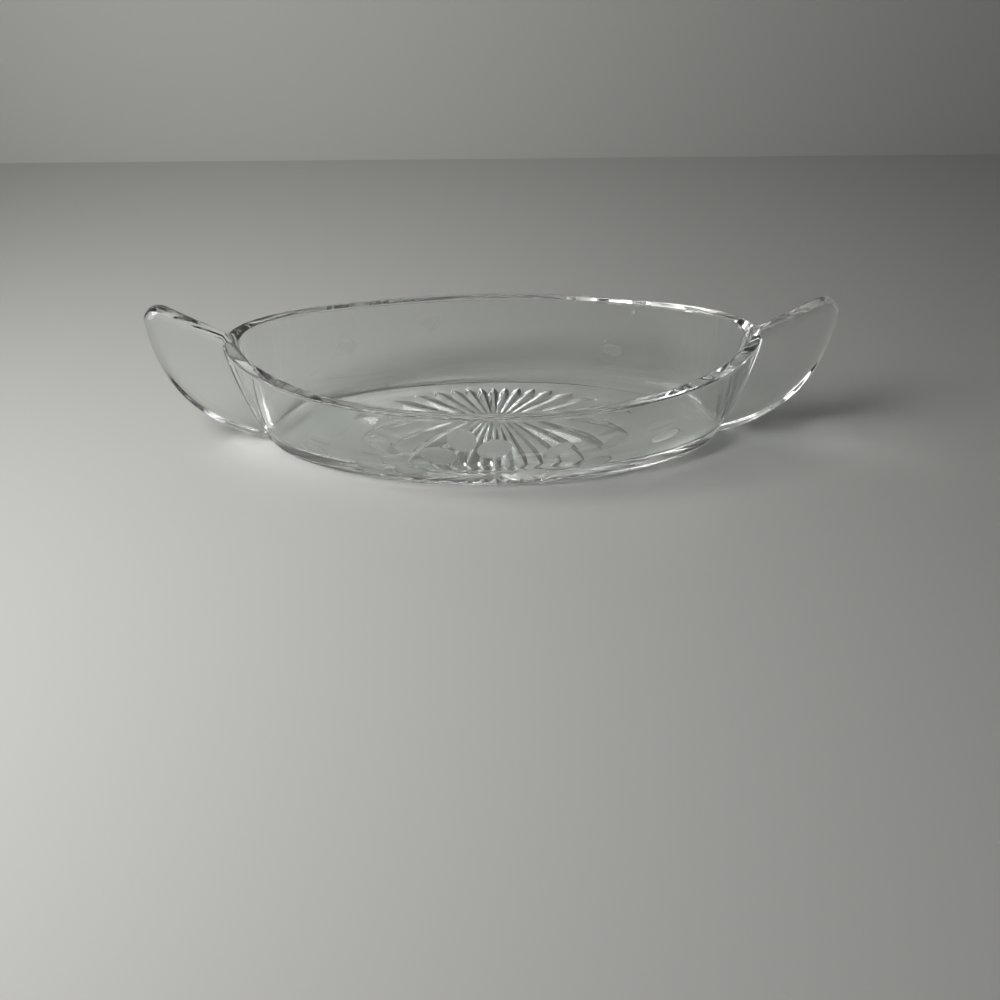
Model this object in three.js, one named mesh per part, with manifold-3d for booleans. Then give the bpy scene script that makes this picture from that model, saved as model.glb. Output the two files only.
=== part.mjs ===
// A boat-shaped pressed-glass relish dish: an oval bowl on a star-pressed base, with an upright
// flat handle at each end. Millimetres, +Z up, +X along the dish, standing on z = 0.
import * as THREE from "three";
import { mergeVertices } from "three/addons/utils/BufferGeometryUtils.js";
import Module from "manifold-3d";

// Overall sizes
const overallLength = 230; // tip to tip over both handles
const rimLength = 180.5; // outside of the bowl at its rim
const rimWidth = 84;
const baseLength = 163; // outside of the bowl at the foot of its wall
const baseWidth = 64.5;
const rimPower = 0.53; // plan of the rim: 0.5 draws an ellipse, 1 a pointed lens
const basePower = 0.6; // plan of the base, a little more pointed

// Bowl section
const rimHeight = 34; // at the middle of the long sides
const endRise = 5.8; // how much higher the rim stands at the two ends
const risePower = 3; // how late along the side the rim starts to rise
const wallBulge = 0.9; // 0 is a straight flare, more is a fuller wall
const rimThickness = 4;
const endThickness = 5.2; // wall at the bowl's two ends
const floorThickness = 5;
const rimEdgeRadius = 0.7;
const heelRadius = 3; // outside corner between base and wall
const innerHeelRadius = 9; // inside corner between floor and wall

// Star pressed into the underside
const rayCount = 32;
const starLength = 102;
const starWidth = 50;
const rayDepth = 1.5;
const rayNose = 4; // from the widest, deepest place of a ray to its outer point
const rayHubRadius = 2; // smooth spot in the middle, where the rays begin
const rayFill = 0.94; // share of its sector that a ray takes, the rest is the ridge

// Handles
const handleThickness = 7.8;
const handleHeight = 51.5;
const handleEdgeRadius = 1;
const handleTipRadius = 5;
const handleRootLift = 1.4; // top of the handle above the rim where the two meet
const keelClearance = 0.9; // underside of the handle above the table, at the bowl
const rootFillet = 2.5; // hollow radius between the sides of a handle and the bowl's end
const rootOverlap = 4; // how far the uncut handle reaches into the bowl
const jointGap = 0.3; // between a handle and the bowl that carries it

// Facets
const outlineSegments = 96;
const wallStations = [0.12, 0.26, 0.4, 0.55, 0.7, 0.85];
const curveSegments = 14;
const edgeSegments = 3;

const wasm = await Module();
wasm.setup();
const { lerp } = THREE.MathUtils;

// Rim height at a place along the dish, where along runs from -1 to 1 between the ends.
const rimZ = (along) => rimHeight + endRise * Math.abs(along) ** risePower;

// Share of the way from the base outline to the rim outline at a share of the wall's height.
const flare = (up) => up + wallBulge * up * (1 - up);

// One closed boat-shaped ring of points, with the height given by its place along the dish.
function boatRing(length, width, power, zAlong) {
  return Array.from({ length: outlineSegments }, (_, i) => {
    const turn = (2 * Math.PI * i) / outlineSegments;
    const along = Math.cos(turn);
    const across = Math.sign(Math.sin(turn)) * Math.abs(Math.sin(turn)) ** (2 * power);
    return new THREE.Vector3((length / 2) * along, (width / 2) * across, zAlong(along));
  });
}

// Ring with the wall's plan at a share of its height, drawn in from the outside face.
function planRing(up, inset, zAlong, endInset = inset) {
  const length = lerp(baseLength, rimLength, flare(up)) - 2 * endInset;
  const width = lerp(baseWidth, rimWidth, flare(up)) - 2 * inset;
  return boatRing(length, width, lerp(basePower, rimPower, flare(up)), zAlong);
}

// The same ring at its own place on the wall, moved up by a lift.
function wallRing(up, inset, lift = 0, endInset = inset) {
  return planRing(up, inset, (along) => lerp(heelRadius, rimZ(along), up) + lift, endInset);
}

// Skins a stack of rings and closes both ends to their middles.
function loft(rings) {
  const count = rings[0].length;
  const points = rings.flat();
  const faces = [];
  for (let r = 0; r + 1 < rings.length; r++) {
    for (let i = 0; i < count; i++) {
      const a = r * count + i;
      const b = r * count + ((i + 1) % count);
      faces.push(a, b, b + count, a, b + count, a + count);
    }
  }
  const close = (ring, start, flip) => {
    const middle = points.length;
    const centre = ring.reduce((sum, p) => sum.add(p), new THREE.Vector3());
    points.push(centre.divideScalar(count));
    for (let i = 0; i < count; i++) {
      const next = start + ((i + 1) % count);
      faces.push(middle, ...(flip ? [next, start + i] : [start + i, next]));
    }
  };
  close(rings[0], 0, true);
  close(rings.at(-1), (rings.length - 1) * count, false);
  return new THREE.BufferGeometry().setFromPoints(points).setIndex(faces);
}

// A closed geometry as a solid that can be joined and cut, and back again.
function solid(geometry) {
  const bare = geometry.clone();
  bare.deleteAttribute("normal");
  bare.deleteAttribute("uv");
  const merged = mergeVertices(bare, 1e-4);
  const triVerts = new Uint32Array(merged.index.array);
  const vertProperties = merged.attributes.position.array;
  return new wasm.Manifold(new wasm.Mesh({ numProp: 3, vertProperties, triVerts }));
}

function geometryOf(made) {
  const mesh = made.getMesh();
  const geometry = new THREE.BufferGeometry();
  geometry.setAttribute("position", new THREE.BufferAttribute(mesh.vertProperties, 3));
  geometry.setIndex(new THREE.BufferAttribute(mesh.triVerts, 1));
  geometry.computeVertexNormals();
  return geometry;
}

const quarterTurns = Array.from(
  { length: edgeSegments + 1 },
  (_, i) => (Math.PI / 2) * (i / edgeSegments),
);

// Rounded heel, from the flat underside to the foot of the wall.
function heelRings(grow = 0) {
  return quarterTurns.map((turn) => {
    const inset = heelRadius * (1 - Math.sin(turn)) - grow;
    const z = heelRadius * (1 - Math.cos(turn));
    return planRing(0, inset, () => z);
  });
}

// Outside of the bowl as a filled solid, grown all round and carried up past its rim.
function filledBowl(grow, pastRim) {
  const walls = [...wallStations, 1].map((up) => wallRing(up, -grow));
  return solid(loft([...heelRings(grow), ...walls, wallRing(1, -grow, pastRim)]));
}

function bowlShell() {
  const thicker = endThickness - rimThickness;
  const outside = wallStations.map((up) => wallRing(up, 0));
  const outerEdge = quarterTurns.map((turn) =>
    wallRing(1, rimEdgeRadius * (1 - Math.cos(turn)), rimEdgeRadius * (Math.sin(turn) - 1)),
  );
  const innerEdge = quarterTurns.map((turn) => {
    const inset = rimThickness - rimEdgeRadius * (1 - Math.sin(turn));
    return wallRing(1, inset, rimEdgeRadius * (Math.cos(turn) - 1), inset + thicker);
  });
  const footUp = (floorThickness + innerHeelRadius - heelRadius) / (rimHeight - heelRadius);
  const inside = wallStations
    .filter((up) => up > footUp)
    .reverse()
    .map((up) => wallRing(up, rimThickness, 0, endThickness));
  const innerHeel = quarterTurns.map((turn) => {
    const inset = rimThickness + innerHeelRadius * (1 - Math.cos(turn));
    const z = floorThickness + innerHeelRadius * (1 - Math.sin(turn));
    return planRing(footUp, inset, () => z, inset + thicker);
  });
  return loft([...heelRings(), ...outside, ...outerEdge, ...innerEdge, ...inside, ...innerHeel]);
}

// One mitred ray along +X: narrow at the hub, widest and deepest just before its outer point.
function rayCutter(tipRadius) {
  const wide = tipRadius - rayNose;
  const half = wide * Math.tan((Math.PI / rayCount) * rayFill);
  const below = -0.5;
  const corners = [
    [rayHubRadius, 0, below],
    [wide, -half * (1 - below / rayDepth), below],
    [wide, half * (1 - below / rayDepth), below],
    [tipRadius, 0, below],
    [wide, 0, rayDepth],
  ].map((xyz) => new THREE.Vector3(...xyz));
  const faces = [0, 1, 4, 1, 3, 4, 3, 2, 4, 2, 0, 4, 0, 2, 1, 1, 2, 3];
  return new THREE.BufferGeometry().setFromPoints(corners).setIndex(faces);
}

function starCutters() {
  return Array.from({ length: rayCount }, (_, i) => {
    const turn = (2 * Math.PI * i) / rayCount;
    const tipRadius =
      (starLength * starWidth) /
      2 /
      Math.hypot(starWidth * Math.cos(turn), starLength * Math.sin(turn));
    return solid(rayCutter(tipRadius).rotateZ(turn));
  });
}

function bowl() {
  const cut = starCutters().reduce((rest, ray) => rest.subtract(ray), solid(bowlShell()));
  return geometryOf(cut);
}

// Where the middle of the bowl's end stands at a height, on the outside.
function endX(z) {
  const up = (z - heelRadius) / (rimZ(1) - heelRadius);
  return lerp(baseLength, rimLength, flare(up)) / 2;
}

// Side view of the handle at +X: straight rising top, round tip, and a keel that sweeps under.
function handleOutline() {
  const tipX = overallLength / 2;
  const rootX = rimLength / 2;
  const footX = baseLength / 2;
  const rootZ = rimZ(1) + handleRootLift;
  const arcX = tipX - handleTipRadius;
  const arcZ = handleHeight - handleTipRadius;
  const slope = Math.atan2(handleHeight - rootZ, arcX - rootX);
  const outline = new THREE.Shape();
  outline.moveTo(footX - rootOverlap, keelClearance);
  outline.lineTo(footX, keelClearance);
  outline.bezierCurveTo(
    lerp(footX, tipX, 0.7), handleHeight * 0.14,
    tipX, handleHeight * 0.43,
    tipX, arcZ,
  );
  outline.absarc(arcX, arcZ, handleTipRadius, 0, Math.PI / 2 + slope, false);
  outline.lineTo(rootX, rootZ);
  outline.lineTo(rootX - rootOverlap, rootZ);
  outline.closePath();
  return outline;
}

function handlePlate() {
  const plate = new THREE.ExtrudeGeometry(handleOutline(), {
    depth: handleThickness - 2 * handleEdgeRadius,
    curveSegments,
    bevelEnabled: true,
    bevelThickness: handleEdgeRadius,
    bevelSize: handleEdgeRadius,
    bevelOffset: -handleEdgeRadius,
    bevelSegments: edgeSegments,
  });
  return plate.translate(0, 0, handleEdgeRadius - handleThickness / 2).rotateX(Math.PI / 2);
}

// Hollow fillets that lead the bowl's end into both sides of the handle, from keel to rim.
function rootFillets() {
  const foot = keelClearance + handleEdgeRadius;
  const half = quarterTurns.map((turn) => [
    rootFillet * (1 - Math.cos(turn)),
    handleThickness / 2 + rootFillet * (1 - Math.sin(turn)),
  ]);
  const section = [
    [-rootOverlap, -handleThickness / 2 - rootFillet],
    ...half.map(([x, y]) => [x, -y]),
    ...half.toReversed(),
    [-rootOverlap, handleThickness / 2 + rootFillet],
  ];
  const rings = [0, ...wallStations, 1].map((up) => {
    const z = lerp(foot, rimZ(1) - rimEdgeRadius, up);
    return section.map(([x, y]) => new THREE.Vector3(endX(z) + x, y, z));
  });
  return loft(rings);
}

function handle() {
  const blank = solid(handlePlate()).add(solid(rootFillets()));
  return geometryOf(blank.subtract(filledBowl(jointGap, handleHeight)));
}

const glass = () =>
  new THREE.MeshStandardMaterial({
    color: 0xe6ece9,
    roughness: 0.04,
    metalness: 0,
    transparent: true,
    opacity: 0.35,
  });

function named(name, geometry) {
  const mesh = new THREE.Mesh(geometry, glass());
  mesh.name = name;
  return mesh;
}

const dish = new THREE.Group();
dish.add(named("bowl", bowl()));
const rightHandle = named("right_handle", handle());
const leftHandle = named("left_handle", handle());
leftHandle.rotation.z = Math.PI;
dish.add(leftHandle, rightHandle);

export default dish;
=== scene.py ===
"""A boat-shaped dish of pressed glass: a star under the base, upright handles and grey-cut flowers."""

import math

import bmesh
import bpy
import numpy as np
from mathutils import Matrix, Vector


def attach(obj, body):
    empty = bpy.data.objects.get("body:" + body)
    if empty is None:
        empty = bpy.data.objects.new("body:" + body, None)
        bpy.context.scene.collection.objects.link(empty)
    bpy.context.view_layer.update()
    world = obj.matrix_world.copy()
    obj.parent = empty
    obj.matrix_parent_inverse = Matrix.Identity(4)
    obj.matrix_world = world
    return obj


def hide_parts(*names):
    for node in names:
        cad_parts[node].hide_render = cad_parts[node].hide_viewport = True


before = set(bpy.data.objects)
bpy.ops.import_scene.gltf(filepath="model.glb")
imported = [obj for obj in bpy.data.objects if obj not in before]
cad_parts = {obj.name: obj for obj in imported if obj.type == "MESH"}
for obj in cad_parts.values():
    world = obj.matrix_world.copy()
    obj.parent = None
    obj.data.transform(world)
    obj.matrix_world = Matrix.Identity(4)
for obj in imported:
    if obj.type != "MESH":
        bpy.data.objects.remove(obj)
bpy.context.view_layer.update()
scene = bpy.context.scene

MM = 0.001

# Bowl, in millimetres
RIM_LENGTH, RIM_WIDTH = 180.5, 84
BASE_LENGTH, BASE_WIDTH = 163, 64.5
RIM_POWER, BASE_POWER = 0.53, 0.6  # 0.5 makes an elliptical plan, more a pointed one
RIM_HEIGHT, END_RISE, RISE_POWER = 34, 5.8, 3
WALL_BULGE, END_BULGE = 0.45, 0.65  # 0 is a straight flare, more is a fuller wall
RIM_THICKNESS, END_THICKNESS, FLOOR_THICKNESS = 4, 5.2, 5
RIM_EDGE, HEEL, INNER_HEEL = 0.5, 1.2, 3.5  # radii of the rounded corners
RIM_TILT = 0.3  # how much lower the rim's inner edge lies
WALL_TAPER, END_TAPER = 4, -0.2  # glass that a side gains down to its foot, and the ends' share of it

# Handles, in millimetres
OVERALL_LENGTH = 230
HANDLE_THICKNESS, HANDLE_HEIGHT = 7.8, 51.5
HANDLE_EDGE, HANDLE_TIP = 3.2, 5  # radii across the edge, and of the tip in side view
EDGE_LEAST, EDGE_GROWTH = 0.25, 0.6  # share of the edge's radius at the bowl, and how it grows from there
HANDLE_ROOT_LIFT, KEEL_CLEARANCE = 1.4, 0.9  # root's top above the rim, keel above the table
KEEL_OUT, KEEL_LOW, KEEL_HIGH = 0.7, 0.14, 0.43  # pulls on the keel's curve, in shares of reach and height
HANDLE_SUNK, UNDER_RIM = 2.2, 0.6  # how far a handle reaches into the wall, and stays below its rim
ROOT_FILLET, ROOT_OVERLAP = 2.5, 0.03
ROOT_RUN_IN, ROOT_RUN_OUT = 9, 3  # heights over which a fillet swells at its foot and shrinks at its top
ROOT_FOOT, ROOT_TOP = 0.25, 0.45  # shares of its radius that are left there

# Star, in millimetres and in shares of one ray
STAR_LENGTH, STAR_WIDTH, RAYS = 102, 50, 32
RAY_DEPTH, RAY_FILL = 1.35, 0.98  # depth, and the share of its sector that a ray fills
RAY_START, RAY_NOSE = 0.06, 0.2  # lengths left out at the middle and narrowing to the tip
RAY_DEEPENS, RAY_ROUND = 1.7, 0.25  # power by which it deepens outwards, and roundness of its ridge
NOSE_NARROWS, NOSE_RISES = 0.8, 0.6  # powers by which it closes at the tip
RAY_SINK, RAY_BELOW = 0.006, 0.3  # depths of its lips and of the tool's underside below the base

# Cut flowers: place along the dish, height, lean in degrees, length and width, in millimetres
CUT_DEPTH = 0.18
FLOWER = (-9, 15)
PETAL_LEANS = (170, 102, 33)
PETAL_RING, PETAL_LENGTH, PETAL_WIDTH = 9.8, 14, 10
PETAL_FULLNESS, LEAF_FULLNESS = 0.5, 0.85  # 0.5 is an oval, more a pointed lens
LEAVES = [
    (19.6, 18.6, 36, 14, 5.6),
    (11.5, 7.2, 4, 15, 4.2),
    (33, 9.5, 14, 15, 5.2),
    (38, 19, 30, 13, 5),
    (56, 17, 8, 16, 5),
    (-28.5, 7.2, 7, 17, 4.4),
    (-42, 7.2, -4, 15, 4.6),
    (-36, 18.5, 158, 13, 5.2),
    (-60.5, 10.4, -6, 13, 5),
]
FAR_LEAVES = [(55.7, 19, 166, 12, 5), (24.5, 23.8, 156, 12, 5), (-45.9, 15.5, 184, 10, 4)]

# Facets
COLUMNS = 336  # round the bowl
OUTSIDE_RINGS, INSIDE_RINGS = 30, 24  # up its wall
BELOW_EDGE, ABOVE_HEEL = 1.25, 0.05  # where those rings stop, in edge radii and in shares of the wall
HEEL_STEPS, OUTER_RIM_STEPS, INNER_RIM_STEPS, INNER_HEEL_STEPS = 9, 9, 7, 13
KEEL_POINTS, TIP_POINTS, TOP_POINTS, ROOT_POINTS = 60, 26, 14, 24  # along a handle's side view
HANDLE_EDGE_STEPS = 11
ROOT_RINGS, ROOT_TOP_STEPS, TOUCH_STEPS, FILLET_STEPS = 40, 10, 80, 12
RAY_FACETS, RAY_RINGS, NOSE_STEPS = 17, 20, 12
PETAL_RINGS, PETAL_SIDES = 25, 20
TOOL_END = 0.995  # a cutting tool ends in a small cap, just short of its point
RIM_HOLD, HANDLE_HOLD, HEEL_HOLD = 0.15, 0.3, 0.4  # rings beside an edge that keep the flat there flat
FACET_BEND, SKIN_BEND = 22, 38  # degrees from which an edge is crisp, in the star and elsewhere
STAR_MARGIN, STAR_SHARE = 0.1, 0.51  # height above the rays and share of the border that count as star

# Materials: sizes of their patterns, in millimetres
GLASS_WAVE, GLASS_GRAIN = 14, 3
CUT_GRIT, PAPER_TOOTH = 0.6, 1.5  # far coarser than the real ones, which are too fine to show

# Table and backdrop, in metres
TABLE = -0.2 * MM  # the glass touches only here and there, so a film of air stays under it
TABLE_REACH, BACK, BACK_HEIGHT = 2, 0.292, 1.5

# Lamps: place, aim and size in metres, power in watts
LAMPS = {
    "window_high": ((-0.229, -0.107, 0.335), (0, 0, 0.02), 0.22, 1.14),
    "window_low": ((-0.36, -0.24, 0.2), (0, 0, 0.02), 0.34, 0.88),
    "ceiling": ((-0.03, 0.0, 0.5), (0, 0, 0), 0.3, 0.12),
}

# Camera: place in millimetres, angles in degrees, lens in widths of the picture
CAMERA_PLACE = (-5.13, -269.67, 188.92)
CAMERA_DROP, CAMERA_TURN = 39.37, -1.52
SENSOR, LENS_WIDTHS = 36, 0.9


def linear(hex_colour):
    """An sRGB hex colour as the linear RGBA that shaders take."""
    parts = [int(hex_colour[i : i + 2], 16) / 255 for i in (1, 3, 5)]
    return [c / 12.92 if c <= 0.04045 else ((c + 0.055) / 1.055) ** 2.4 for c in parts] + [1.0]


def node(tree, kind, inputs=(), **settings):
    """Adds a node, sets its properties, and fills each input with a value or a link."""
    made = tree.nodes.new(kind)
    for name, value in settings.items():
        setattr(made, name, value)
    for name, value in dict(inputs).items():
        if isinstance(value, bpy.types.NodeSocket):
            tree.links.new(value, made.inputs[name])
        else:
            made.inputs[name].default_value = value
    return made


def lerp(a, b, share):
    return a + (b - a) * share


def quarter(steps):
    """Angles of a quarter turn."""
    return np.linspace(0, np.pi / 2, steps)


def new_object(name, data):
    made = bpy.data.objects.new(name, data)
    scene.collection.objects.link(made)
    return made


def loft(name, rings):
    """A closed skin over a stack of rings of points in millimetres, capped at both ends."""
    count = len(rings[0])
    faces = []
    for r in range(len(rings) - 1):
        for i in range(count):
            j = (i + 1) % count
            faces.append((r * count + i, r * count + j, (r + 1) * count + j, (r + 1) * count + i))
    last = (len(rings) - 1) * count
    faces.append(tuple(range(count))[::-1])
    faces.append(tuple(last + i for i in range(count)))
    mesh = bpy.data.meshes.new(name)
    mesh.from_pydata((np.concatenate(rings) * MM).tolist(), [], faces)
    shape = bmesh.new()
    shape.from_mesh(mesh)
    bmesh.ops.recalc_face_normals(shape, faces=shape.faces)
    shape.to_mesh(mesh)
    shape.free()
    return new_object(name, mesh)


def plain_mesh(made):
    """Turns an object's modifiers into its own mesh."""
    graph = bpy.context.evaluated_depsgraph_get()
    mesh = bpy.data.meshes.new_from_object(made.evaluated_get(graph))
    made.modifiers.clear()
    made.data = mesh


def combine(blank, operation, tools):
    """Joins tools to a blank or cuts them from it, one by one, and uses them up."""
    for tool in tools:
        change = blank.modifiers.new(operation, "BOOLEAN")
        change.operation, change.object = operation, tool
        change.solver, change.material_mode = "MANIFOLD", "TRANSFER"
    plain_mesh(blank)
    for tool in tools:
        bpy.data.objects.remove(tool)


# Bowl

def rim_z(along):
    """Height of the rim at a place along the dish, from -1 to 1 between the ends."""
    return RIM_HEIGHT + END_RISE * np.abs(along) ** RISE_POWER


def flare(up, bulge=WALL_BULGE):
    """Share of the way from the base's outline to the rim's, at a share of the wall's height."""
    return up + bulge * up * (1 - up)


def half_length(up):
    return lerp(BASE_LENGTH, RIM_LENGTH, flare(up, END_BULGE)) / 2


def half_width(up):
    return lerp(BASE_WIDTH, RIM_WIDTH, flare(up)) / 2


def plan_power(up):
    return lerp(BASE_POWER, RIM_POWER, flare(up))


def plan_ring(up, inset, z_along, taper=0.0):
    """One boat-shaped ring with the wall's plan at a share of its height.

    It is drawn in from the outside by an inset, which is more at the thicker ends, and by a taper.
    """
    turn = np.linspace(0, 2 * np.pi, COLUMNS, endpoint=False)
    along = np.cos(turn)
    across = np.sign(np.sin(turn)) * np.abs(np.sin(turn)) ** (2 * plan_power(up))
    end_inset = inset + (END_THICKNESS - RIM_THICKNESS) * min(inset / RIM_THICKNESS, 1)
    x = (half_length(up) - end_inset - taper * END_TAPER) * along
    y = (half_width(up) - inset - taper) * across
    return np.column_stack([x, y, z_along(along) + 0 * along])


def wall_ring(up, inset, lift=0.0, taper=0.0):
    """The same ring at its own height on the wall, moved up by a lift."""
    return plan_ring(up, inset, lambda along: lerp(HEEL, rim_z(along), up) + lift, taper)


def bowl_blank():
    """The bowl's skin, from the middle of the base up the outside, over the rim and down the inside."""
    heel = [plan_ring(0, HEEL + HEEL_HOLD, lambda along: 0)]
    for t in quarter(HEEL_STEPS):
        heel.append(plan_ring(0, HEEL * (1 - math.sin(t)), lambda along: HEEL * (1 - math.cos(t))))

    below_rim = 1 - BELOW_EDGE * RIM_EDGE / (RIM_HEIGHT - HEEL)
    outside = [wall_ring(up, 0) for up in np.linspace(0, below_rim, OUTSIDE_RINGS)[1:]]

    rim = []
    for t in quarter(OUTER_RIM_STEPS):
        rim.append(wall_ring(1, RIM_EDGE * (1 - math.cos(t)), RIM_EDGE * (math.sin(t) - 1)))
    rim.append(wall_ring(1, RIM_EDGE + RIM_HOLD))
    rim.append(wall_ring(1, RIM_THICKNESS - RIM_EDGE - RIM_HOLD, -RIM_TILT))
    for t in quarter(INNER_RIM_STEPS):
        inset = RIM_THICKNESS - RIM_EDGE * (1 - math.sin(t))
        rim.append(wall_ring(1, inset, RIM_EDGE * (math.cos(t) - 1) - RIM_TILT))

    foot_up = (FLOOR_THICKNESS + INNER_HEEL - HEEL) / (RIM_HEIGHT - HEEL)
    foot_taper = WALL_TAPER * (1 - foot_up)
    inside = [
        wall_ring(up, RIM_THICKNESS, taper=WALL_TAPER * (1 - up))
        for up in np.linspace(below_rim, foot_up + ABOVE_HEEL, INSIDE_RINGS)
    ]
    for t in quarter(INNER_HEEL_STEPS):
        inset = RIM_THICKNESS + INNER_HEEL * (1 - math.cos(t))
        z = FLOOR_THICKNESS + INNER_HEEL * (1 - math.sin(t))
        inside.append(plan_ring(foot_up, inset, lambda along: z, foot_taper))
    floor_inset = RIM_THICKNESS + INNER_HEEL + HEEL_HOLD
    inside.append(plan_ring(foot_up, floor_inset, lambda along: FLOOR_THICKNESS, foot_taper))
    return loft("dish", heel + outside + rim + inside)


def wall_y(x, z, rounds=8):
    """Half width of the bowl's outside at a place along it and a height, settled in a few rounds."""
    along = x / half_length(1)
    for _ in range(rounds):
        up = (z - HEEL) / (rim_z(along) - HEEL)
        along = x / half_length(up)
    return half_width(up) * max(1 - along * along, 0) ** plan_power(up)


def wall_x(y, z, rounds=4):
    """Where the bowl's end stands at a height, to one side of its middle, settled in a few rounds."""
    along = np.ones_like(y)
    for _ in range(rounds):
        up = np.maximum((z - HEEL) / (rim_z(along) - HEEL), 0)
        along = np.sqrt(1 - (y / half_width(up)) ** (1 / plan_power(up)))
    return half_length(up) * along


def end_x(z):
    """Where the middle of the bowl's end stands at a height."""
    return half_length(max((z - HEEL) / (rim_z(1) - HEEL), 0))


# Handles

def handle_outline():
    """Side view of the handle at +X, from its keel round the tip to the rim and down inside the wall."""
    tip, root, foot = OVERALL_LENGTH / 2, RIM_LENGTH / 2, BASE_LENGTH / 2
    arc = np.array([tip - HANDLE_TIP, HANDLE_HEIGHT - HANDLE_TIP])
    root_z = rim_z(1) + HANDLE_ROOT_LIFT
    slope = math.atan2(HANDLE_HEIGHT - root_z, arc[0] - root)
    keel = [
        np.array([foot, KEEL_CLEARANCE]),
        np.array([lerp(foot, tip, KEEL_OUT), HANDLE_HEIGHT * KEEL_LOW]),
        np.array([tip, HANDLE_HEIGHT * KEEL_HIGH]),
        np.array([tip, arc[1]]),
    ]
    points = []
    for s in np.linspace(0, 1, KEEL_POINTS)[:-1]:
        weights = [(1 - s) ** 3, 3 * s * (1 - s) ** 2, 3 * s * s * (1 - s), s**3]
        points.append(sum(w * p for w, p in zip(weights, keel)))
    for turn in np.linspace(0, math.pi / 2 + slope, TIP_POINTS):
        points.append(arc + HANDLE_TIP * np.array([math.cos(turn), math.sin(turn)]))
    top = points[-1]
    for s in np.linspace(0, 1, TOP_POINTS)[1:]:
        points.append(lerp(top, np.array([root, root_z]), s))
    for z in np.linspace(rim_z(1) - UNDER_RIM, KEEL_CLEARANCE, ROOT_POINTS):
        points.append(np.array([end_x(z) - HANDLE_SUNK, z]))
    return np.array(points)


def drawn_in(outline, inset):
    """An outline moved inwards all round, with the move limited at sharp corners."""
    ahead = np.roll(outline, -1, 0) - outline
    behind = outline - np.roll(outline, 1, 0)
    middle = 0
    for way in (ahead, behind):
        across = np.column_stack([-way[:, 1], way[:, 0]])
        middle = middle + across / np.linalg.norm(way, axis=1)[:, None]
    shortest = 0.5
    middle /= np.maximum(np.linalg.norm(middle, axis=1), shortest)[:, None]
    return outline + inset * middle


def handle_plate():
    """The flat handle at +X, its edge fully round at the tip and tighter where it runs into the bowl."""
    outline = handle_outline()
    half = HANDLE_THICKNESS / 2
    edge = HANDLE_EDGE * np.ones(len(outline))
    edge[:KEEL_POINTS] *= lerp(EDGE_LEAST, 1, np.linspace(0, 1, KEEL_POINTS) ** EDGE_GROWTH)
    edge[-ROOT_POINTS:] *= EDGE_LEAST

    def ring(side, inset, sunk):
        drawn = drawn_in(outline, inset[:, None])
        return np.column_stack([drawn[:, 0], side * (half - sunk), drawn[:, 1]])

    rings = []
    for side in (-1, 1):
        turned = [ring(side, edge + HANDLE_HOLD, 0 * edge)]
        for t in quarter(HANDLE_EDGE_STEPS):
            turned.append(ring(side, edge * (1 - math.sin(t)), edge * (1 - math.cos(t))))
        turned.append(ring(side, 0 * edge, edge + HANDLE_HOLD))
        rings += turned[::-side]
    return loft("handle", rings)


def handle_root():
    """Hollow fillets, each rolled into the corner between the bowl's end and a side of a handle."""
    low, high = KEEL_CLEARANCE + HANDLE_EDGE, rim_z(1) - RIM_EDGE
    shrinks = high - ROOT_RUN_OUT
    face = HANDLE_THICKNESS / 2 - ROOT_OVERLAP
    top_levels = shrinks + ROOT_RUN_OUT * np.sin(quarter(ROOT_TOP_STEPS)[1:])
    rings = []
    for z in np.concatenate([np.linspace(low, shrinks, ROOT_RINGS), top_levels]):
        swell = math.sin(min((z - low) / ROOT_RUN_IN, 1) * math.pi / 2)
        shrink = math.sqrt(max(1 - max((z - shrinks) / ROOT_RUN_OUT, 0) ** 2, 0))
        radius = ROOT_FILLET * lerp(ROOT_FOOT, 1, swell) * lerp(ROOT_TOP, 1, shrink)
        centre_y = face + radius
        y = np.linspace(centre_y - radius, centre_y + radius, TOUCH_STEPS)
        bow = np.sqrt(np.maximum(radius**2 - (y - centre_y) ** 2, 0))
        touching = wall_x(y, z) - ROOT_OVERLAP + bow
        centre_x = touching.max()
        end_y = y[touching.argmax()]
        end_turn = math.asin(min((end_y - centre_y) / radius, 1))
        half = [
            (centre_x - radius * math.cos(t), centre_y + radius * math.sin(t))
            for t in np.linspace(end_turn, -math.pi / 2, FILLET_STEPS)
        ]
        back = end_x(z) - HANDLE_SUNK
        section = [(back, -end_y)] + [(x, -v) for x, v in half] + half[::-1] + [(back, end_y)]
        rings.append(np.array([(x, v, z) for x, v in section]))
    return loft("handle_root", rings)


def turned_round(made):
    """A copy for the other end of the dish."""
    copy = new_object(made.name + "_left", made.data.copy())
    copy.data.transform(Matrix.Rotation(math.pi, 4, "Z"))
    return copy


# Cutting tools

def ray_tool():
    """One star ray of unit length along +X: a V groove, round at its ridge, deepening to a point."""
    wide = 1 - RAY_NOSE
    across = np.linspace(-1, 1, RAY_FACETS)
    vee = 1 - (np.hypot(across, RAY_ROUND) - RAY_ROUND) / (math.hypot(1, RAY_ROUND) - RAY_ROUND)
    nose = lerp(wide, 1, np.sin(quarter(NOSE_STEPS)[1:]) * TOOL_END)
    rings = []
    for run in np.concatenate([np.linspace(RAY_START, wide, RAY_RINGS), nose]):
        tip = 1 - (max(run - wide, 0) / RAY_NOSE) ** 2
        half = min(run, wide) * tip**NOSE_NARROWS
        deep = (min(run, wide) / wide) ** RAY_DEEPENS * tip**NOSE_RISES
        groove = [(run, half * u, deep * v - RAY_SINK) for u, v in zip(across, vee)]
        underside = [(run, half, -RAY_BELOW), (run, -half, -RAY_BELOW)]
        rings.append(np.array(groove + underside) / MM)
    return loft("ray", rings)


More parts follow.
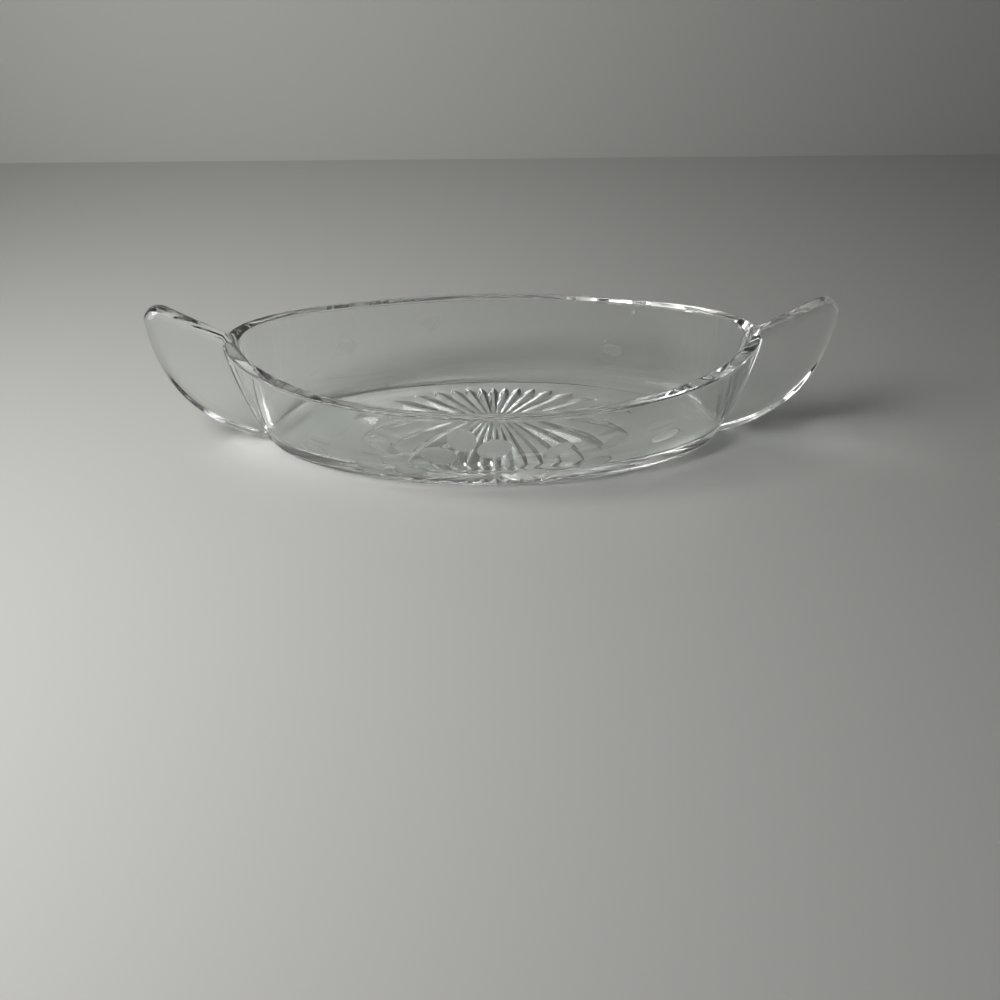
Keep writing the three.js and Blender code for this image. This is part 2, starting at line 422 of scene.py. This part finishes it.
def petal_tool(name, fullness):
    """A lens of unit half length along X, half width along Y and half depth along Z."""
    turn = np.linspace(0, 2 * np.pi, PETAL_SIDES, endpoint=False)
    rings = []
    for s in np.linspace(-TOOL_END, TOOL_END, PETAL_RINGS):
        radius = (1 - s * s) ** fullness
        rings.append(np.column_stack([s + 0 * turn, radius * np.cos(turn), radius * np.sin(turn)]) / MM)
    return loft(name, rings)


def lay_tools(tree, material, points, tool, turn, size):
    """Ends a tree with one tool on every point, turned and sized there, in a material."""
    laid = node(
        tree,
        "GeometryNodeInstanceOnPoints",
        {"Points": points, "Instance": tool, "Rotation": turn, "Scale": size},
    ).outputs[0]
    real = node(tree, "GeometryNodeRealizeInstances", {"Geometry": laid}).outputs[0]
    clad = node(tree, "GeometryNodeSetMaterial", {"Geometry": real, "Material": material}).outputs[0]
    node(tree, "NodeGroupOutput", {0: clad})


def star_tree(material):
    """Spokes of one tool round a middle, each as long as an oval border allows."""
    tree = bpy.data.node_groups.new("star_rays", "GeometryNodeTree")
    face = tree.interface
    face.new_socket("Geometry", in_out="OUTPUT", socket_type="NodeSocketGeometry")
    names = {}
    for name, kind in (
        ("Ray", "NodeSocketObject"),
        ("Ray Count", "NodeSocketInt"),
        ("Border Length", "NodeSocketFloat"),
        ("Border Width", "NodeSocketFloat"),
        ("Ray Depth", "NodeSocketFloat"),
        ("Sector Share", "NodeSocketFloat"),
    ):
        names[name] = face.new_socket(name, in_out="INPUT", socket_type=kind).identifier
    given = node(tree, "NodeGroupInput").outputs
    count, length, width = given["Ray Count"], given["Border Length"], given["Border Width"]
    math_node = "ShaderNodeMath"
    index = node(tree, "GeometryNodeInputIndex").outputs[0]
    step = node(tree, math_node, {0: 2 * math.pi, 1: count}, operation="DIVIDE").outputs[0]
    turn = node(tree, math_node, {0: index, 1: step}, operation="MULTIPLY").outputs[0]

    # reach of the border in each ray's direction
    cosine = node(tree, math_node, {0: turn}, operation="COSINE").outputs[0]
    sine = node(tree, math_node, {0: turn}, operation="SINE").outputs[0]
    across = node(tree, math_node, {0: cosine, 1: width}, operation="MULTIPLY").outputs[0]
    along = node(tree, math_node, {0: sine, 1: length}, operation="MULTIPLY").outputs[0]
    spread = node(tree, "ShaderNodeCombineXYZ", {0: across, 1: along}).outputs[0]
    root = node(tree, "ShaderNodeVectorMath", {0: spread}, operation="LENGTH").outputs["Value"]
    area = node(tree, math_node, {0: length, 1: width}, operation="MULTIPLY").outputs[0]
    half_area = node(tree, math_node, {0: area, 1: 0.5}, operation="MULTIPLY").outputs[0]
    reach = node(tree, math_node, {0: half_area, 1: root}, operation="DIVIDE").outputs[0]

    # half width of a ray's sector at its tip
    half_step = node(tree, math_node, {0: step, 1: 0.5}, operation="MULTIPLY").outputs[0]
    filled = {0: half_step, 1: given["Sector Share"]}
    sector = node(tree, math_node, filled, operation="MULTIPLY").outputs[0]
    slope = node(tree, math_node, {0: sector}, operation="TANGENT").outputs[0]
    half = node(tree, math_node, {0: reach, 1: slope}, operation="MULTIPLY").outputs[0]

    size = node(tree, "ShaderNodeCombineXYZ", {0: reach, 1: half, 2: given["Ray Depth"]}).outputs[0]
    facing = node(tree, "ShaderNodeCombineXYZ", {2: turn}).outputs[0]
    points = node(tree, "GeometryNodePoints", {"Count": count}).outputs[0]
    tool = node(tree, "GeometryNodeObjectInfo", {"Object": given["Ray"]}).outputs["Geometry"]
    lay_tools(tree, material, points, tool, facing, size)
    return tree, names


def spray_tree(material):
    """One tool on every point, turned and sized by the point's own attributes."""
    tree = bpy.data.node_groups.new("cut_spray", "GeometryNodeTree")
    face = tree.interface
    face.new_socket("Geometry", in_out="OUTPUT", socket_type="NodeSocketGeometry")
    face.new_socket("Geometry", in_out="INPUT", socket_type="NodeSocketGeometry")
    tool_name = face.new_socket("Tool", in_out="INPUT", socket_type="NodeSocketObject").identifier
    given = node(tree, "NodeGroupInput").outputs
    own = "GeometryNodeInputNamedAttribute"
    turn = node(tree, own, {"Name": "turn"}, data_type="FLOAT_VECTOR").outputs[0]
    size = node(tree, own, {"Name": "size"}, data_type="FLOAT_VECTOR").outputs[0]
    tool = node(tree, "GeometryNodeObjectInfo", {"Object": given["Tool"]}).outputs["Geometry"]
    lay_tools(tree, material, given["Geometry"], tool, turn, size)
    return tree, tool_name


def star_rays(material):
    tool = ray_tool()
    made = new_object("star_rays", bpy.data.meshes.new("star_rays"))
    tree, names = star_tree(material)
    rays = made.modifiers.new("star_rays", "NODES")
    rays.node_group = tree
    for name, value in (
        ("Ray", tool),
        ("Ray Count", RAYS),
        ("Border Length", STAR_LENGTH * MM),
        ("Border Width", STAR_WIDTH * MM),
        ("Ray Depth", RAY_DEPTH * MM),
        ("Sector Share", RAY_FILL),
    ):
        rays[names[name]] = value
    plain_mesh(made)
    bpy.data.objects.remove(tool)
    return made


def on_wall(x, z, lean):
    """Place and turn of a cut on the near outside wall, its length leaning from the dish's length."""
    half = 0.5  # to each side, so that the wall's slopes are per millimetre
    here = Vector((x, -wall_y(x, z), z))
    by_x = Vector((1, -(wall_y(x + half, z) - wall_y(x - half, z)), 0)).normalized()
    by_z = Vector((0, -(wall_y(x, z + half) - wall_y(x, z - half)), 1))
    out = by_x.cross(by_z).normalized()
    by_z = out.cross(by_x)
    way = by_x * math.cos(math.radians(lean)) + by_z * math.sin(math.radians(lean))
    turn = Matrix((way, out.cross(way), out)).transposed().to_4x4()
    return Matrix.Translation(here * MM) @ turn


def spray(name, tool, tree, tool_name, near, far=()):
    """Cutters for the near side, and for the far side as placed with the dish turned half round."""
    places, turns, sizes = [], [], []
    for side, cuts in ((0, near), (math.pi, far)):
        for x, z, lean, length, width in cuts:
            whole = Matrix.Rotation(side, 4, "Z") @ on_wall(x, z, lean)
            places.append(whole.translation)
            turns.append(whole.to_euler())
            sizes.append((length / 2 * MM, width / 2 * MM, CUT_DEPTH * MM))
    mesh = bpy.data.meshes.new(name)
    mesh.from_pydata(places, [], [])
    for key, values in (("turn", turns), ("size", sizes)):
        own = mesh.attributes.new(key, "FLOAT_VECTOR", "POINT")
        own.data.foreach_set("vector", np.array(values).ravel())
    made = new_object(name, mesh)
    change = made.modifiers.new(name, "NODES")
    change.node_group = tree
    change[tool_name] = tool
    plain_mesh(made)
    bpy.data.objects.remove(tool)
    return made


def flower_cuts(material):
    tree, tool_name = spray_tree(material)
    petals = []
    for lean in PETAL_LEANS:
        x = FLOWER[0] + PETAL_RING * math.cos(math.radians(lean))
        z = FLOWER[1] + PETAL_RING * math.sin(math.radians(lean))
        petals.append((x, z, lean, PETAL_LENGTH, PETAL_WIDTH))
    return [
        spray("petals", petal_tool("petal", PETAL_FULLNESS), tree, tool_name, petals),
        spray("leaves", petal_tool("leaf", LEAF_FULLNESS), tree, tool_name, LEAVES, FAR_LEAVES),
    ]


# Materials

CLEAR_GLASS = {"Base Color": linear("#f7f9f7"), "IOR": 1.52, "Transmission Weight": 1.0}


def new_material(name):
    made = bpy.data.materials.new(name)
    made.use_nodes = True
    made.node_tree.nodes.clear()
    return made, made.node_tree


def pressed_glass():
    """Clear soda-lime glass, pressed and fire-polished: bright gloss, a faint wave left by the mould."""
    made, tree = new_material("pressed_soda_lime_glass")
    place = node(tree, "ShaderNodeTexCoord").outputs["Object"]
    waves = {"Vector": place, "Scale": 1 / (GLASS_WAVE * MM), "Detail": 1.0}
    wave = node(tree, "ShaderNodeTexNoise", waves).outputs[0]
    swell = {"Strength": 0.012, "Distance": 0.4 * MM, "Height": wave}
    bump = node(tree, "ShaderNodeBump", swell).outputs[0]
    grains = {"Vector": place, "Scale": 1 / (GLASS_GRAIN * MM), "Detail": 4.0}
    grain = node(tree, "ShaderNodeTexNoise", grains).outputs[0]
    polish = {"Value": grain, "From Min": 0.35, "From Max": 0.75, "To Min": 0.004, "To Max": 0.02}
    gloss = node(tree, "ShaderNodeMapRange", polish).outputs[0]
    look = {**CLEAR_GLASS, "Roughness": gloss, "Normal": bump}
    surface = node(tree, "ShaderNodeBsdfPrincipled", look).outputs[0]
    node(tree, "ShaderNodeOutputMaterial", {"Surface": surface})
    return made


def grey_cutting():
    """The same glass where a cutting wheel left it unpolished: frosted, with the wheel's fine grain."""
    made, tree = new_material("grey_wheel_cut_glass")
    place = node(tree, "ShaderNodeTexCoord").outputs["Object"]
    grits = {"Vector": place, "Scale": 1 / (CUT_GRIT * MM), "Detail": 3.0}
    grit = node(tree, "ShaderNodeTexNoise", grits).outputs[0]
    grinding = {"Value": grit, "From Min": 0.3, "From Max": 0.7, "To Min": 0.29, "To Max": 0.36}
    frost = node(tree, "ShaderNodeMapRange", grinding).outputs[0]
    surface = node(tree, "ShaderNodeBsdfPrincipled", {**CLEAR_GLASS, "Roughness": frost}).outputs[0]
    node(tree, "ShaderNodeOutputMaterial", {"Surface": surface})
    return made


def paper():
    """Matt white board, with the faint tooth of paper."""
    made, tree = new_material("matt_white_board")
    place = node(tree, "ShaderNodeTexCoord").outputs["Object"]
    teeth = {"Vector": place, "Scale": 1 / (PAPER_TOOTH * MM), "Detail": 3.0}
    tooth = node(tree, "ShaderNodeTexNoise", teeth).outputs[0]
    rough = {"Strength": 0.08, "Distance": 0.2 * MM, "Height": tooth}
    bump = node(tree, "ShaderNodeBump", rough).outputs[0]
    look = {"Base Color": linear("#b6b6b3"), "Roughness": 0.7, "Normal": bump}
    surface = node(tree, "ShaderNodeBsdfPrincipled", look).outputs[0]
    node(tree, "ShaderNodeOutputMaterial", {"Surface": surface})
    return made


# Dish

def crisp_edges(made):
    """Smooth glass everywhere but along the star's facets and round the cut petals."""
    mesh = made.data
    mesh.shade_smooth()
    shape = bmesh.new()
    shape.from_mesh(mesh)

    def in_star(place):
        out = math.hypot(place.x / STAR_LENGTH, place.y / STAR_WIDTH)
        return place.z < (RAY_DEPTH + STAR_MARGIN) * MM and out < STAR_SHARE * MM

    for edge in shape.edges:
        if len(edge.link_faces) != 2:
            continue
        one, two = edge.link_faces
        limit = FACET_BEND if all(in_star(v.co) for v in edge.verts) else SKIN_BEND
        bend = edge.calc_face_angle(0)
        edge.smooth = one.material_index == two.material_index and bend < math.radians(limit)
    shape.to_mesh(mesh)
    shape.free()


glass, frosted = pressed_glass(), grey_cutting()
dish = bowl_blank()
dish.data.materials.append(glass)
handle = handle_plate()
root = handle_root()
combine(dish, "UNION", [handle, turned_round(handle), root, turned_round(root)])
combine(dish, "DIFFERENCE", [star_rays(glass), *flower_cuts(frosted)])
crisp_edges(dish)
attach(dish, "root")
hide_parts("bowl", "left_handle", "right_handle")


# Table, backdrop, light and camera

def board(name, corners, material):
    mesh = bpy.data.meshes.new(name)
    mesh.from_pydata(corners, [], [(0, 1, 2, 3)])
    mesh.materials.append(material)
    new_object(name, mesh)


def lamp(name, place, aim, size, power):
    data = bpy.data.lights.new(name, "AREA")
    data.shape, data.size, data.energy = "DISK", size, power
    made = new_object(name, data)
    made.location = place
    made.rotation_euler = (Vector(aim) - Vector(place)).to_track_quat("-Z", "Y").to_euler()


white_board = paper()
left, right, front = -TABLE_REACH, TABLE_REACH, -TABLE_REACH
foot_line = [(left, BACK, TABLE), (right, BACK, TABLE)]
board("table", [(left, front, TABLE), (right, front, TABLE), *foot_line[::-1]], white_board)
board("backdrop", [*foot_line, (right, BACK, BACK_HEIGHT), (left, BACK, BACK_HEIGHT)], white_board)

for name, settings in LAMPS.items():
    lamp(name, *settings)

world = bpy.data.worlds.new("room")
scene.world = world
world.use_nodes = True
room = world.node_tree
room.nodes.clear()
dim = {"Color": linear("#8c8c8c"), "Strength": 0.12}
room_light = node(room, "ShaderNodeBackground", dim).outputs[0]
node(room, "ShaderNodeOutputWorld", {"Surface": room_light})

camera = new_object("camera", bpy.data.cameras.new("camera"))
camera.data.sensor_width = SENSOR
camera.data.lens = SENSOR * LENS_WIDTHS
camera.data.clip_start, camera.data.clip_end = 0.01, 20
camera.location = [part * MM for part in CAMERA_PLACE]
camera.rotation_euler = (math.radians(90 - CAMERA_DROP), 0, math.radians(CAMERA_TURN))
scene.camera = camera

scene.view_settings.view_transform = "Standard"
scene.cycles.max_bounces = 24
scene.cycles.transmission_bounces = 24
scene.cycles.glossy_bounces = 12
scene.cycles.blur_glossy = 0  # keeps the light that the glass gathers on the table crisp
scene.cycles.sample_clamp_indirect = 0
